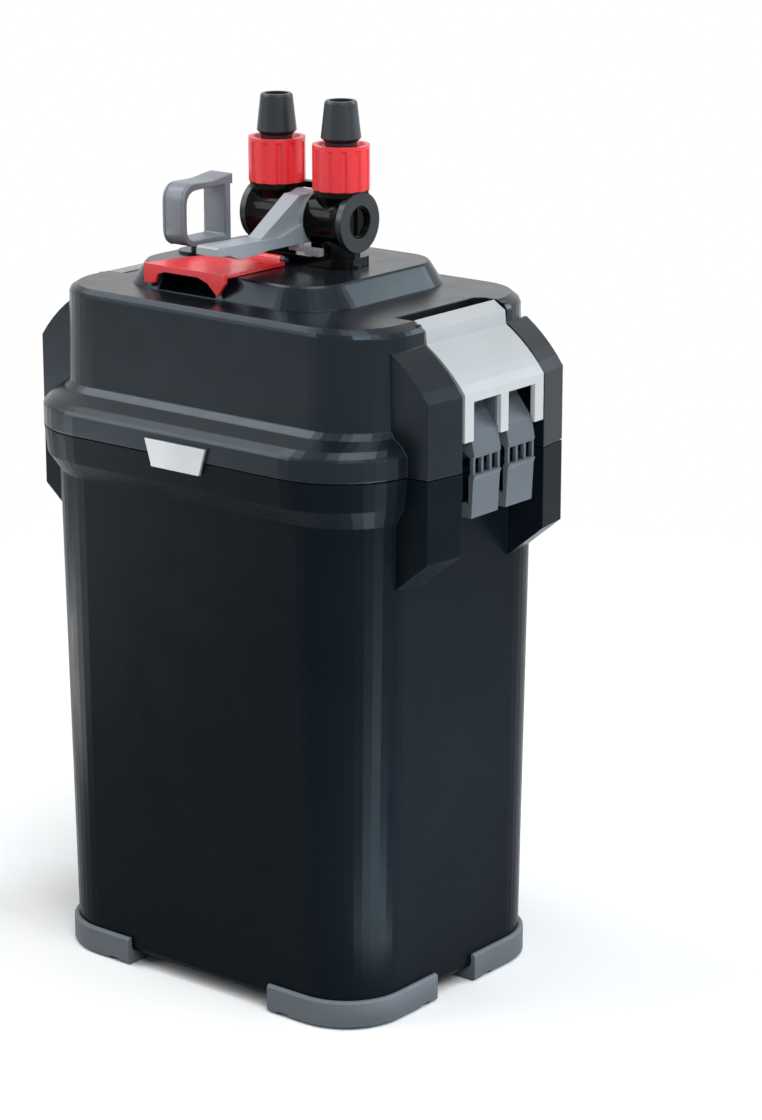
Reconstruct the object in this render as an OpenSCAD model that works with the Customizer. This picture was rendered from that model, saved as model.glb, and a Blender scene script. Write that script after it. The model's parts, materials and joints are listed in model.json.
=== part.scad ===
// Canister filter for an aquarium or a small pond.
// Origin on the floor under the middle of the rim, +Z up, -Y to the front, millimetres.

/* [Vessel] */
// Height of the parting line between vessel and lid
seam_z = 266; // [250:1:290]
// Width of the rim
rim_w = 215; // [210:1:222]
// Depth of the rim
rim_d = 172; // [168:1:180]
// Corner radius of the rim
rim_r = 44; // [38:1:46]
// Height of the upright band of the rim
rim_band_h = 14; // [10:1:18]
// Height of the slope under the rim band
rim_slope_h = 9; // [6:1:12]
// Inward lean of the rim band
rim_lean = 1.5; // [0.5:0.1:3]
// Width of the body just under the rim
waist_w = 203; // [200:1:206]
// Depth of the body just under the rim
waist_d = 154; // [150:1:160]
// Corner radius of the body just under the rim
waist_r = 36; // [32:1:40]
// Width of the body at its base
base_w = 194; // [190:1:198]
// Depth of the body at its base
base_d = 146; // [142:1:150]
// Corner radius of the body at its base
base_r = 30; // [27:1:33]
// Wall of the vessel
vessel_wall = 3; // [2.5:0.1:3.5]
// Height of the vessel's bottom above the floor
foot_gap = 6; // [5:0.5:8]
// Height of the rubber corner feet
foot_h = 13.5; // [12:0.5:18]
// Thickness of a foot outside the vessel
foot_t = 2.6; // [2:0.1:4]
// Length of a foot along the front and the back
foot_leg_x = 54; // [44:1:60]
// Length of a foot along the sides
foot_leg_y = 60; // [44:1:66]

/* [Lid] */
// Height of the deck above the parting line
lid_h = 66; // [62:1:72]
// Open line between the vessel and the lid
seam_gap = 0.6; // [0.3:0.1:1]
// Height of the lid's upright flange
flange_h = 9.5; // [7:0.5:12]
// Height of the curved shoulder above the flange
shoulder_h = 10; // [8:0.5:13]
// Width of the lid's crown above the shoulder
crown_w = 201; // [199:1:203]
// Depth of the lid's crown above the shoulder
crown_d = 138; // [134:1:146]
// Corner radius of the crown
crown_r = 34; // [30:1:38]
// Inward lean of the crown's wall up to the deck
crown_lean = 1; // [0.5:0.1:2]
// Height of the bevel round the deck
deck_edge = 4; // [3:0.5:5]
// Wall of the lid
lid_wall = 2.5; // [2:0.1:3]
// Wall of the lid's flange
flange_wall = 3; // [2.5:0.1:4]
// Depth of the plug that enters the vessel
plug_h = 22; // [18:1:26]
// Thickness of the lid's base plate
plate_t = 3.8; // [3:0.1:5]
// Width of the raised platform on the deck
platform_w = 116; // [114:1:118]
// Depth of the platform
platform_d = 99; // [97:1:101]
// Corner radius of the platform
platform_r = 21; // [18:1:26]
// Height of the platform above the deck
platform_h = 10.5; // [9:0.5:12]

/* [Clamps] */
// Distance of the clamps' middle behind the rim's middle
clamp_y = 4; // [2:0.5:5]
// Reach of the cheeks' outer faces beyond the rim
cheek_out = 14; // [13:0.5:15]
// Inward sweep of the cheeks' faces away from the bay
cheek_sweep = 3; // [2:0.5:4]
// Width over both cheeks
cheek_w = 102; // [98:1:106]
// Width of the bay between the cheeks
bay_w = 62; // [60:1:64]
// Drop of the cheeks below the parting line
cheek_drop = 39; // [36:1:42]
// Height of the cheeks' tapered lower end
cheek_tail = 17; // [12:1:22]
// Rise of the cheeks' upright faces above the parting line
cheek_rise = 35; // [32:1:37]
// Thickness of the clamp panel
panel_t = 2.5; // [2:0.1:3]
// Width of one hook finger
finger_w = 20; // [18:0.5:22]
// Distance between the middles of the two fingers
finger_pitch = 26; // [25.5:0.5:27]
// Depth by which the hooks reach under the keeper
hook_grip = 3; // [2:0.5:3.5]
// Radius of the clamp hinge pin
clamp_pin_r = 1.5; // [1.2:0.1:1.8]

/* [Valve] */
// Distance of the hose ports behind the rim's middle
port_y = 12; // [11:0.5:14]
// Distance between the two hose ports
port_pitch = 39.2; // [38:0.1:41]
// Height of the valve's axis above the deck
valve_axis_h = 32; // [31:0.5:34]
// Radius of the valve barrels
barrel_r = 14.3; // [13.6:0.1:15]
// Half of the width over both barrels
barrel_half_w = 31; // [30:0.5:33]
// Radius of the valve plugs
plug_r = 10.1; // [9:0.1:10.5]
// Radius of the flow passage through the valve
flow_r = 6.5; // [5:0.1:7]
// Radius of the spigots below the valve
spigot_r = 10.9; // [9.5:0.1:11.5]
// Length of the spigots below the valve's foot
spigot_l = 22; // [18:1:24]
// Radius of the lock nuts over their ribs
nut_r = 13.5; // [12.8:0.1:13.6]
// Height of the lock nuts
nut_h = 21; // [19:0.5:23]
// Number of ribs round a lock nut
nut_ribs = 12; // [10:1:16]
// Height of the hose barbs' tips above the valve's axis
barb_top_h = 56; // [52:1:60]
// Radius of a barb at its tip
barb_tip_r = 7.4; // [7:0.1:8]
// Radius of a barb at its widest
barb_max_r = 9.5; // [9:0.1:9.8]
// Radius of the bore through a barb
barb_bore_r = 5.6; // [4.5:0.1:6]
// Width of the lever's thumb pad
lever_w = 13; // [11:0.5:13]
// Reach of the lever in front of the valve's axis
lever_reach = 72.5; // [68:0.5:76]
// Thickness of the lever's thumb pad
pad_t = 4; // [3:0.1:5]

/* [Release tab] */
// Left edge of the tab at its front
tab_left = -50; // [-52:0.5:-48]
// Right edge of the tab
tab_right = 0.5; // [-1:0.5:1]
// Depth of the tab from its front edge to its hinge
tab_d = 45.5; // [44:0.5:46]
// Thickness of the tab
tab_t = 1.7; // [1.4:0.1:2]

/* [Primer] */
// Distance of the primer to the left of the middle
primer_x = 56; // [55:0.5:57]
// Distance of the primer in front of the rim's middle
primer_y = 4; // [2:0.5:5]
// Width of the primer handle's band
grip_w = 16; // [13:0.5:16]
// Depth of the primer handle
grip_d = 34; // [30:1:36]
// Height of the primer handle
grip_h = 35; // [32:1:40]
// Thickness of the primer handle's band
grip_t = 4; // [3:0.1:5]
// Radius of the primer piston's cylinder
primer_r = 10; // [8:0.5:10]
// Radius of the primer rod
rod_r = 3.5; // [3:0.1:4]

/* [Pump] */
// Distance of the pump to the right of the middle
pump_x = 62; // [60:0.5:63]
// Radius of the motor can
motor_r = 26; // [24:0.5:26]
// Height of the motor can
motor_h = 44; // [40:1:45]
// Radius of the rotor's magnet
magnet_r = 11.2; // [10:0.1:11.5]
// Length of the rotor's magnet
magnet_l = 34; // [30:1:36]
// Radius of the impeller
impeller_r = 17; // [15:0.5:18]
// Number of impeller blades
blades = 6; // [5:1:8]
// Radius of the ceramic shaft
shaft_r = 1.5; // [1.2:0.1:2]
// Depth of the pump chamber below the lid's base plate
chamber_h = 31; // [28:1:33]

/* [Media] */
// Height of one media basket
basket_h = 68; // [58:1:70]
// Wall of a basket
basket_wall = 2; // [1.6:0.1:2.4]
// Width of the bars of the basket floors
basket_bar = 3; // [2:0.5:4]
// Width of the slots in the basket floors
basket_slot = 5; // [4:0.5:6]
// Thickness of the upright foam screen
screen_t = 27; // [24:1:28]

/* [Hidden] */
$fn = 64;

// Clearances
seat_gap = 0.2;
slide_gap = 0.3;
run_gap = 0.06;
over = 1;

// Levels
rim_top_z = seam_z - seam_gap;
band_z = seam_z - rim_band_h;
slope_z = band_z - rim_slope_h;
floor_z = foot_gap + vessel_wall;
base_round = 3;
flange_z = seam_z + flange_h;
shoulder_z = flange_z + shoulder_h;
deck_z = seam_z + lid_h;
under_deck_z = deck_z - lid_wall;
bevel_x = 1.5 * deck_edge;
bevel_y = 0.5 * deck_edge;
platform_z = deck_z + platform_h;
plate_z = rim_top_z + plate_t;
groove_z = rim_top_z - 0.46 * plug_h;
seal_h = 0.23 * plug_h;
axis_z = deck_z + valve_axis_h;

// Platform and tab
platform_x = -9.6;
platform_y = 7.4;
platform_draft_x = 6.5;
platform_draft_y = 5;
platform_edge = 0.9;
platform_front = platform_y - platform_d / 2;
tab_overhang = 6.9;
tab_front = platform_front - tab_overhang;
tab_hinge_y = tab_front + tab_d;
tab_under_z = platform_z + slide_gap;
tab_pin_r = 1;
tab_knuckle_r = 2;
tab_pin_z = tab_under_z + tab_knuckle_r - run_gap;
tab_rear_left = tab_left + 12;
tab_waist_left = tab_left + 6;
tab_lug_t = 2.6;
tab_drop = 9;

// Clamps
cheek_x = rim_w / 2 + cheek_out;
cheek_y = clamp_y - 1.4;
cheek_top_z = deck_z - 10.5;
pin_x = cheek_x - 27;
pin_z = deck_z - 6;
knuckle_r = 3.2;
pocket_x = cheek_x - 39;
pocket_wall = 2;
pocket_floor_z = cheek_top_z - 4.5;
pocket_corner = 6;
panel_half = bay_w / 2 - 1.3;
panel_x = cheek_x + 0.5;
panel_bend_z = seam_z + cheek_rise + 0.5;
panel_bottom_z = seam_z + 13.5;
panel_lip = deck_edge;
window_half = finger_w / 2 + 0.1;
window_top_z = panel_bend_z - 4;
hook_inner_x = cheek_x - 2.5;
hook_face_x = cheek_x + 0.5;
hook_bottom_z = seam_z - 23;
keeper_x = cheek_x - 6;
keeper_z = seam_z - 18.4;
keeper_lean = 2.9;
hook_clear = 0.7;
wall_bite_x = waist_w / 2 - vessel_wall + 0.3;

// Valve
port_x = port_pitch / 2;
lever_gap = lever_w / 2 + 0.5;
valve_foot_z = platform_z + seat_gap;
valve_foot_t = 4.3;
valve_foot_front = 1;
valve_foot_d = 24;
cavity_r = plug_r + 0.1;
end_cap_t = 3.3;
cavity_x0 = lever_gap + 2;
cavity_x1 = barrel_half_w - end_cap_t;
barrel_waist_r = 12.7;
barrel_waist_x = 19;
stub_r = 6;
stub_x = cavity_x0 + 3;
plug_end_r = 7.7;
spout_r = 10.9;
spout_z = axis_z + 26;
nut_z = axis_z + barrel_r + 2 * seat_gap;
nut_top_z = nut_z + nut_h;
barb_flange_t = 1.8;
barb_neck_r = 7.4;
barb_top_z = axis_z + barb_top_h;
socket_r = spigot_r + 0.3;
seal_r = 1;
seal_mid_r = socket_r - 0.1 - seal_r;
seal_z = valve_foot_z - spigot_l + 6;
neck_r = 9;
hub_r = 12.5;

// Primer
grip_z = platform_z + 4;
grip_floor = 2;
rod_bottom_z = plate_z + 6;
piston_h = 10;
collar_r = 9.5;
primer_port_r = 3;

// Pump
pump_y = -2;
nose_r = 20;
nose_z = rim_top_z - 7;
well_r = magnet_r + 0.8;
well_top_z = nose_z + magnet_l + 8;
chamber_z = rim_top_z - chamber_h;
chamber_r = nose_r + 0.8;
chamber_wall = 2.2;
core_z = plate_z + 0.25 * motor_h;
core_h = 0.36 * motor_h;
duct_h = 16;
bush_r = 4;
bush_t = 3;

// Media
basket_x0 = screen_t + 5 - base_w / 2 + 9;
basket_x1 = base_w / 2 - 9;
basket_half_d = base_d / 2 - 13;
basket_r = base_r - 14;
basket_z = floor_z + seat_gap;
basket_pitch = basket_h + seat_gap;
screen_x0 = 9 - base_w / 2;
screen_half_d = base_d / 2 - 19;
screen_h = 3 * basket_pitch;

// Facets of a lofted corner
corner_steps = 12;

// --- Helpers ---

function arc_points(cx, cy, r, start, z, n) =
  [for (i = [0:n]) let (a = start + 90 * i / n) [cx + r * cos(a), cy + r * sin(a), z]];

// One rounded rectangle from a section [half width, half depth, corner radius, height]
function ring_points(s, n) = concat(
  arc_points(s[0] - s[2], s[1] - s[2], s[2], 0, s[3], n),
  arc_points(s[2] - s[0], s[1] - s[2], s[2], 90, s[3], n),
  arc_points(s[2] - s[0], s[2] - s[1], s[2], 180, s[3], n),
  arc_points(s[0] - s[2], s[2] - s[1], s[2], 270, s[3], n)
);

// A section with its outline moved out by d
function grown(s, d) = [s[0] + d, s[1] + d, s[2] + d, s[3]];

function bezier(a, b, c, t) = (1 - t) * (1 - t) * a + 2 * t * (1 - t) * b + t * t * c;

// Solid through a stack of rounded rectangles, listed from the bottom up
module loft(sections, n = corner_steps) {
  m = 4 * (n + 1);
  last = len(sections) - 1;
  polyhedron(
    points = [for (s = sections) each ring_points(s, n)],
    faces = concat(
      [[for (j = [0:m - 1]) j]],
      [for (k = [0:last - 1], j = [0:m - 1])
        let (a = k * m + j, b = k * m + (j + 1) % m)
        each [[a, a + m, b + m], [a, b + m, b]]],
      [[for (j = [m - 1:-1:0]) last * m + j]]
    )
  );
}

module rounded(hx, hy, r) {
  square([2 * (hx - r), 2 * hy], center = true);
  square([2 * hx, 2 * (hy - r)], center = true);
  for (sx = [-1, 1], sy = [-1, 1]) translate([sx * (hx - r), sy * (hy - r)]) circle(r);
}

module slab(hx, hy, r, z0, z1) {
  translate([0, 0, z0]) linear_extrude(z1 - z0) rounded(hx, hy, r);
}

// Outline in X and Z, extruded from y0 to y1
module xz_prism(points, y0, y1) {
  translate([0, y1, 0]) rotate([90, 0, 0]) linear_extrude(y1 - y0) polygon(points);
}

// Outline in X and Z, counter-clockwise from the front, moved by d0 in X at y0 and by d1 at y1
module slanted_prism(points, y0, y1, d0, d1) {
  n = len(points);
  polyhedron(
    points = concat([for (p = points) [p[0] + d0, y0, p[1]]], [for (p = points) [p[0] + d1, y1, p[1]]]),
    faces = concat(
      [[for (i = [n - 1:-1:0]) i]],
      [[for (i = [0:n - 1]) n + i]],
      [for (i = [0:n - 1]) let (j = (i + 1) % n) [i, j, n + j, n + i]]
    )
  );
}

// Children drawn in Y and Z, extruded from x0 to x1
module yz_extrude(x0, x1) {
  translate([x0, 0, 0]) rotate([90, 0, 90]) linear_extrude(x1 - x0) children();
}

module box(x0, x1, y0, y1, z0, z1) {
  translate([x0, y0, z0]) cube([x1 - x0, y1 - y0, z1 - z0]);
}

module x_rod(r, x0, x1, y, z) {
  translate([x0, y, z]) rotate([0, 90, 0]) cylinder(r = r, h = x1 - x0);
}

module y_rod(r, y0, y1, x, z) {
  translate([x, y1, z]) rotate([90, 0, 0]) cylinder(r = r, h = y1 - y0);
}

module z_rod(r, z0, z1, x = 0, y = 0) {
  translate([x, y, z0]) cylinder(r = r, h = z1 - z0);
}

module both_sides() {
  children();
  mirror([1, 0, 0]) children();
}

// --- Vessel ---

vessel_outer = [
  [base_w / 2 - base_round, base_d / 2 - base_round, base_r - base_round, foot_gap],
  [base_w / 2 - base_round / 4, base_d / 2 - base_round / 4, base_r - base_round / 4, foot_gap + base_round / 3],
  [base_w / 2, base_d / 2, base_r, foot_gap + base_round],
  [waist_w / 2, waist_d / 2, waist_r, slope_z],
  [rim_w / 2 - rim_lean, rim_d / 2 - rim_lean, rim_r - rim_lean, band_z],
  [rim_w / 2, rim_d / 2, rim_r, rim_top_z]
];

module vessel_cavity() {
  w = vessel_wall;
  loft([
    [base_w / 2 - w - base_round, base_d / 2 - w - base_round, base_r - w - base_round, floor_z],
    [base_w / 2 - w, base_d / 2 - w, base_r - w, floor_z + base_round],
    [waist_w / 2 - w, waist_d / 2 - w, waist_r - w, slope_z - over],
    [waist_w / 2 - w, waist_d / 2 - w, waist_r - w, seam_z + over]
  ]);
}

module cheek_pair(points) {
  slanted_prism(points, cheek_y - cheek_w / 2, clamp_y - bay_w / 2, -cheek_sweep, 0);
  slanted_prism(points, clamp_y + bay_w / 2, cheek_y + cheek_w / 2, 0, -cheek_sweep);
}

module vessel_cheeks() {
  cheek_pair([
    [wall_bite_x, seam_z - cheek_drop - cheek_tail],
    [waist_w / 2 - 0.7, seam_z - cheek_drop - cheek_tail],
    [cheek_x, seam_z - cheek_drop],
    [cheek_x, rim_top_z],
    [wall_bite_x, rim_top_z]
  ]);
}

// Ledge between the cheeks that the clamp hooks pull against
module keeper() {
  xz_prism([
    [wall_bite_x, rim_top_z],
    [keeper_x, rim_top_z],
    [keeper_x, keeper_z + keeper_lean],
    [keeper_x - hook_grip - 0.5, keeper_z],
    [wall_bite_x, keeper_z]
  ], clamp_y - bay_w / 2 - over, clamp_y + bay_w / 2 + over);
}

module vessel() {
  color("#22272b")
  difference() {
    union() {
      loft(vessel_outer);
      both_sides() vessel_cheeks();
      both_sides() keeper();
    }
    vessel_cavity();
  }
}

module foot(side_x, side_y) {
  hx = base_w / 2 + foot_t;
  hy = base_d / 2 + foot_t;
  r = base_r + foot_t;
  bevel = 1;
  band = 22;
  tab = 5;
  notch = 7;
  color("#6b7075")
  intersection() {
    difference() {
      loft([
        [hx - bevel, hy - bevel, r - bevel, 0],
        [hx, hy, r, bevel],
        [hx, hy, r, foot_h - bevel],
        [hx - bevel, hy - bevel, r - bevel, foot_h]
      ]);
      loft([for (k = [0:3]) grown(vessel_outer[k], seat_gap)]);
      slab(hx - band, hy - band, r - band + over, -over, foot_h);
      // Shallow notch beside the tab at each end of the band
      translate([side_x * (hx - foot_leg_x + tab + notch / 2), side_y * hy, 0]) cube([notch, 6, 3], center = true);
      translate([side_x * hx, side_y * (hy - foot_leg_y + tab + notch / 2), 0]) cube([6, notch, 3], center = true);
    }
    translate([side_x * (hx - foot_leg_x / 2), side_y * (hy - foot_leg_y / 2), foot_h / 2])
      cube([foot_leg_x + 2 * over, foot_leg_y + 2 * over, foot_h + 2 * over], center = true);
  }
}

module foot_front_left() { foot(-1, -1); }
module foot_front_right() { foot(1, -1); }
module foot_rear_left() { foot(-1, 1); }
module foot_rear_right() { foot(1, 1); }

// --- Media ---

module basket_slots(z0, z1) {
  pitch = basket_bar + basket_slot;
  count = floor((basket_x1 - basket_x0 - 2 * basket_r) / pitch);
  start = (basket_x0 + basket_x1) / 2 - (count - 1) * pitch / 2;
  for (i = [0:count - 1], s = [-1, 1])
    translate([start + i * pitch, s * basket_half_d * 0.45, (z0 + z1) / 2])
      cube([basket_slot, basket_half_d * 0.72, z1 - z0], center = true);
}

module basket(level) {
  z0 = basket_z + level * basket_pitch;
  cx = (basket_x0 + basket_x1) / 2;
  hx = (basket_x1 - basket_x0) / 2;
  color("#2f3438")
  difference() {
    translate([cx, 0, 0]) slab(hx, basket_half_d, basket_r, z0, z0 + basket_h);
    translate([cx, 0, 0])
      slab(hx - basket_wall, basket_half_d - basket_wall, basket_r - basket_wall, z0 + basket_wall, z0 + basket_h + over);
    basket_slots(z0 - over, z0 + basket_wall + over);
  }
}

module basket_lower() { basket(0); }
module basket_middle() { basket(1); }
module basket_upper() { basket(2); }

module basket_cover() {
  z0 = basket_z + 3 * basket_pitch;
  cx = (basket_x0 + basket_x1) / 2;
  hx = (basket_x1 - basket_x0) / 2;
  pull_half = 22;
  pull_h = 9;
  color("#3a4045")
  difference() {
    union() {
      translate([cx, 0, 0]) slab(hx, basket_half_d, basket_r, z0, z0 + basket_wall);
      box(cx - pull_half, cx + pull_half, -basket_wall, basket_wall, z0, z0 + pull_h);
    }
    basket_slots(z0 - over, z0 + basket_wall + over);
    box(cx - pull_half + 4, cx + pull_half - 4, -10, 10, z0 + basket_wall, z0 + pull_h - basket_wall);
  }
}

module media_block(level, part_h, tint) {
  z0 = basket_z + level * basket_pitch + basket_wall + seat_gap;
  cx = (basket_x0 + basket_x1) / 2;
  gap = basket_wall + slide_gap;
  color(tint)
  translate([cx, 0, 0])
    slab((basket_x1 - basket_x0) / 2 - gap, basket_half_d - gap, basket_r - gap, z0, z0 + part_h * (basket_h - 6));
}

module bio_foam_lower() { media_block(0, 1, "#3b3f3a"); }
module bio_foam_middle() { media_block(1, 1, "#3b3f3a"); }
module fine_pad_upper() { media_block(2, 0.5, "#e8e8e2"); }

module screen_frame() {
  z1 = basket_z + screen_h;
  cx = screen_x0 + screen_t / 2;
  rows = 3;
  row_h = (screen_h - 2 * basket_wall) / rows;
  color("#2f3438")
  difference() {
    translate([cx, 0, 0]) slab(screen_t / 2, screen_half_d, 3, basket_z, z1);
    box(screen_x0 + basket_wall, screen_x0 + screen_t - basket_wall, basket_wall - screen_half_d,
        screen_half_d - basket_wall, basket_z + basket_wall, z1 + over);
    for (k = [0:rows - 1], s = [-1, 1])
      translate([cx, s * screen_half_d / 2, basket_z + basket_wall + (k + 0.5) * row_h])
        cube([screen_t + 2 * over, screen_half_d - 8, row_h - 6], center = true);
  }
}

module screen_foam(layer) {
  inner = screen_t - 2 * basket_wall;
  thick = inner / 2 - slide_gap;
  x0 = screen_x0 + basket_wall + slide_gap / 2 + layer * inner / 2;
  color("#2a2d2c")
    box(x0, x0 + thick, -screen_half_d + basket_wall + slide_gap, screen_half_d - basket_wall - slide_gap,
        basket_z + basket_wall + seat_gap, basket_z + screen_h - 2);
}

module screen_foam_outer() { screen_foam(0); }
module screen_foam_inner() { screen_foam(1); }

// --- Lid ---

lid_outer = [
  [rim_w / 2, rim_d / 2, rim_r, seam_z],
  [rim_w / 2, rim_d / 2, rim_r, flange_z],
  [rim_w / 2 - 0.8, rim_d / 2 - 1, rim_r - 0.8, flange_z + 1.2],
  [crown_w / 2 + 4.4, crown_d / 2 + 12, crown_r + 6.5, flange_z + 0.38 * shoulder_h],
  [crown_w / 2 + 1.2, crown_d / 2 + 3.5, crown_r + 2, flange_z + 0.72 * shoulder_h],
  [crown_w / 2, crown_d / 2, crown_r, shoulder_z],
  for (k = [[0, 1], [0.22, 0.55], [0.85, 0.1], [1, 0]]) [
    crown_w / 2 - crown_lean - k[0] * bevel_x,
    crown_d / 2 - crown_lean - k[0] * bevel_y,
    crown_r - crown_lean - k[0] * (bevel_x + bevel_y) / 2,
    deck_z - k[1] * deck_edge
  ]
];

module lid_cavity() {
  w = lid_wall;
  f = flange_wall;
  top = deck_edge + crown_lean + w;
  loft([
    [rim_w / 2 - f, rim_d / 2 - f, rim_r - f, seam_z - over],
    [rim_w / 2 - f, rim_d / 2 - f, rim_r - f, flange_z - 1.5],
    [crown_w / 2 - w, crown_d / 2 - w, crown_r - w, shoulder_z],
    [crown_w / 2 - w - crown_lean, crown_d / 2 - w - crown_lean, crown_r - w - crown_lean, deck_z - deck_edge - 1],
    [crown_w / 2 - top, crown_d / 2 - top, crown_r - top, under_deck_z]
  ]);
}

module lid_cheeks() {
  top = [crown_w / 2 - 0.1, cheek_top_z];
  bend = [cheek_x, seam_z + cheek_rise];
  swell = (top + bend) / 2 + [2, 2];
  cheek_pair(concat(
    [[crown_w / 2 - 1.5, seam_z], [cheek_x, seam_z], bend],
    [for (i = [1:5]) bezier(bend, swell, top, i / 5)],
    [[crown_w / 2 - 1.5, cheek_top_z]]
  ));
}

module platform() {
  foot_r = platform_r + (platform_draft_x + platform_draft_y) / 2;
  translate([platform_x, platform_y, 0]) {
    loft([
      [platform_w / 2 + platform_draft_x, platform_d / 2 + platform_draft_y, foot_r, under_deck_z],
      [platform_w / 2 + platform_draft_x, platform_d / 2 + platform_draft_y, foot_r, deck_z + 0.4],
      [platform_w / 2, platform_d / 2, platform_r, platform_z - platform_edge],
      [platform_w / 2 - platform_edge, platform_d / 2 - platform_edge, platform_r - platform_edge, platform_z]
    ]);
  }
}

// Pocket under the deck's edge that holds the clamp hinge
module clamp_pocket() {
  half = bay_w / 2 + pocket_wall;
  box(pocket_x - pocket_wall, crown_w / 2 - lid_wall, clamp_y - half, clamp_y + half,
      pocket_floor_z - pocket_wall, deck_z - over);
}

module clamp_pocket_room() {
  half = bay_w / 2;
  box(pocket_x + pocket_corner, cheek_x + 5, clamp_y - half, clamp_y + half, pocket_floor_z, deck_z + over);
  box(pocket_x, cheek_x, clamp_y - half, clamp_y + half - pocket_corner, pocket_floor_z, deck_z + over);
  z_rod(pocket_corner, pocket_floor_z, deck_z + over, pocket_x + pocket_corner, clamp_y + half - pocket_corner);
  y_rod(clamp_pin_r + run_gap, clamp_y - bay_w / 2 - pocket_wall - over, clamp_y + bay_w / 2 + pocket_wall + over,
        pin_x, pin_z);
}

screw_x = 76;
screw_y = 48;
boss_r = 4;
screw_r = 1.5;

module lid_cover() {
  finger_x0 = tab_left + 7;
  finger_x1 = tab_right - 8;
  finger_d = 16.6;
  color("#33393e")
  difference() {
    union() {
      difference() {
        union() {
          loft(lid_outer);
          both_sides() lid_cheeks();
        }
        lid_cavity();
      }
      platform();
      both_sides() clamp_pocket();
      z_rod(collar_r, under_deck_z, platform_z + 1, -primer_x, -primer_y);
      for (sx = [-1, 1], sy = [-1, 1])
        z_rod(boss_r, plate_z + seat_gap, under_deck_z + over, sx * screw_x, sy * screw_y);
      for (x = [tab_rear_left + 1, tab_right - 1 - tab_lug_t])
        yz_extrude(x, x + tab_lug_t) {
          translate([tab_hinge_y - tab_knuckle_r, platform_z - over])
            square([2 * tab_knuckle_r, tab_pin_z - platform_z + over]);
          translate([tab_hinge_y, tab_pin_z]) circle(tab_knuckle_r);
        }
    }
    both_sides() clamp_pocket_room();
    for (s = [-1, 1]) z_rod(socket_r, under_deck_z - over, platform_z + over, s * port_x, port_y);
    z_rod(rod_r + run_gap, under_deck_z - over, platform_z + 2 * over, -primer_x, -primer_y);
    for (sx = [-1, 1], sy = [-1, 1])
      z_rod(screw_r + run_gap, plate_z - over, plate_z + 16, sx * screw_x, sy * screw_y);
    x_rod(tab_pin_r + run_gap, tab_rear_left, tab_right, tab_hinge_y, tab_pin_z);
    box(finger_x0, finger_x1, tab_front - 8, platform_front + finger_d, deck_z + 0.4, platform_z + over);
    y_rod(gland_r + run_gap, crown_d / 2 - 2 * lid_wall, crown_d / 2 + 4, gland_x, gland_z);
  }
}

module lid_base() {
  plug = 0.6;
  skirt = 3;
  inset = flange_wall + slide_gap;
  color("#2b3034")
  difference() {
    union() {
      slab(rim_w / 2 - inset, rim_d / 2 - inset, rim_r - inset, rim_top_z, plate_z);
      slab(waist_w / 2 - vessel_wall - plug, waist_d / 2 - vessel_wall - plug, waist_r - vessel_wall - plug,
           rim_top_z - plug_h, rim_top_z);
      for (s = [-1, 1]) z_rod(socket_r + 2.5, plate_z - over, under_deck_z - seat_gap, s * port_x, port_y);
    }
    slab(waist_w / 2 - vessel_wall - plug - skirt, waist_d / 2 - vessel_wall - plug - skirt,
         waist_r - vessel_wall - plug - skirt, rim_top_z - plug_h - over, rim_top_z);
    seal_ring(groove_z - slide_gap, groove_z + seal_h + slide_gap, plug + 2, over);
    for (s = [-1, 1]) {
      z_rod(socket_r, plate_z, under_deck_z + over, s * port_x, port_y);
      z_rod(flow_r, rim_top_z - over, plate_z + over, s * port_x, port_y);
    }
    z_rod(nose_r + seat_gap, rim_top_z - over, plate_z + over, pump_x, pump_y);
    z_rod(primer_port_r, rim_top_z - over, plate_z + over, -primer_x, -primer_y);
    for (sx = [-1, 1], sy = [-1, 1])
      z_rod(screw_r + run_gap, rim_top_z - over, plate_z + over, sx * screw_x, sy * screw_y);
  }
}

// Ring that runs round the plug: inner wall at depth d0 inside the vessel's wall, outer wall at depth -d1
module seal_ring(z0, z1, d0, d1) {
  hx = waist_w / 2 - vessel_wall;
  hy = waist_d / 2 - vessel_wall;
  r = waist_r - vessel_wall;
  difference() {
    slab(hx + d1, hy + d1, r + d1, z0, z1);
    slab(hx - d0, hy - d0, r - d0, z0 - over, z1 + over);
  }
}

module lid_seal() {
  color("#111315") seal_ring(groove_z, groove_z + seal_h, 2.3, -0.3);
}

module base_screws() {
  color("#b9bec2")
  for (sx = [-1, 1], sy = [-1, 1]) {
    z_rod(3.4, rim_top_z - 2.4 - seat_gap / 2, rim_top_z - seat_gap / 2, sx * screw_x, sy * screw_y);
    z_rod(screw_r, rim_top_z - 1, plate_z + 15, sx * screw_x, sy * screw_y);
  }
}

// Trapezoid plate on the front of the flange
module badge_plate() {
  top_half = 18.5;
  bottom_half = 14.5;
  cx = 2.7;
  z0 = seam_z - 6;
  z1 = seam_z + 6.8;
  t = 1.6;
  y1 = -rim_d / 2 - seat_gap;
  color("#c9ccce")
  xz_prism([[cx - bottom_half, z0], [cx + bottom_half, z0], [cx + top_half, z1], [cx - top_half, z1]], y1 - t, y1);
}

gland_r = 5;
gland_x = 40;
gland_z = seam_z + 32;
gland_end_y = rim_d / 2 + 5;
cord_r = 3.1;

// Strain relief for the mains cord in the back of the lid
module cable_gland() {
  y0 = crown_d / 2 - lid_wall - 1;
  collar_y = crown_d / 2 + seat_gap;
  color("#15181a")
  difference() {
    union() {
      y_rod(gland_r, y0, collar_y + over, gland_x, gland_z);
      y_rod(8, collar_y, collar_y + 4, gland_x, gland_z);
      translate([gland_x, collar_y + 3, gland_z]) rotate([-90, 0, 0])
        cylinder(r1 = 6.5, r2 = 4.6, h = gland_end_y - collar_y - 3);
    }
    y_rod(cord_r, y0 - over, gland_end_y + over, gland_x, gland_z);
    for (k = [0:3]) {
      y = collar_y + 6.5 + 3.2 * k;
      for (s = [-1, 1])
        translate([gland_x + s * 5.5, y, gland_z]) cube([4, 1.4, 20], center = true);
    }
  }
}

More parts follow.
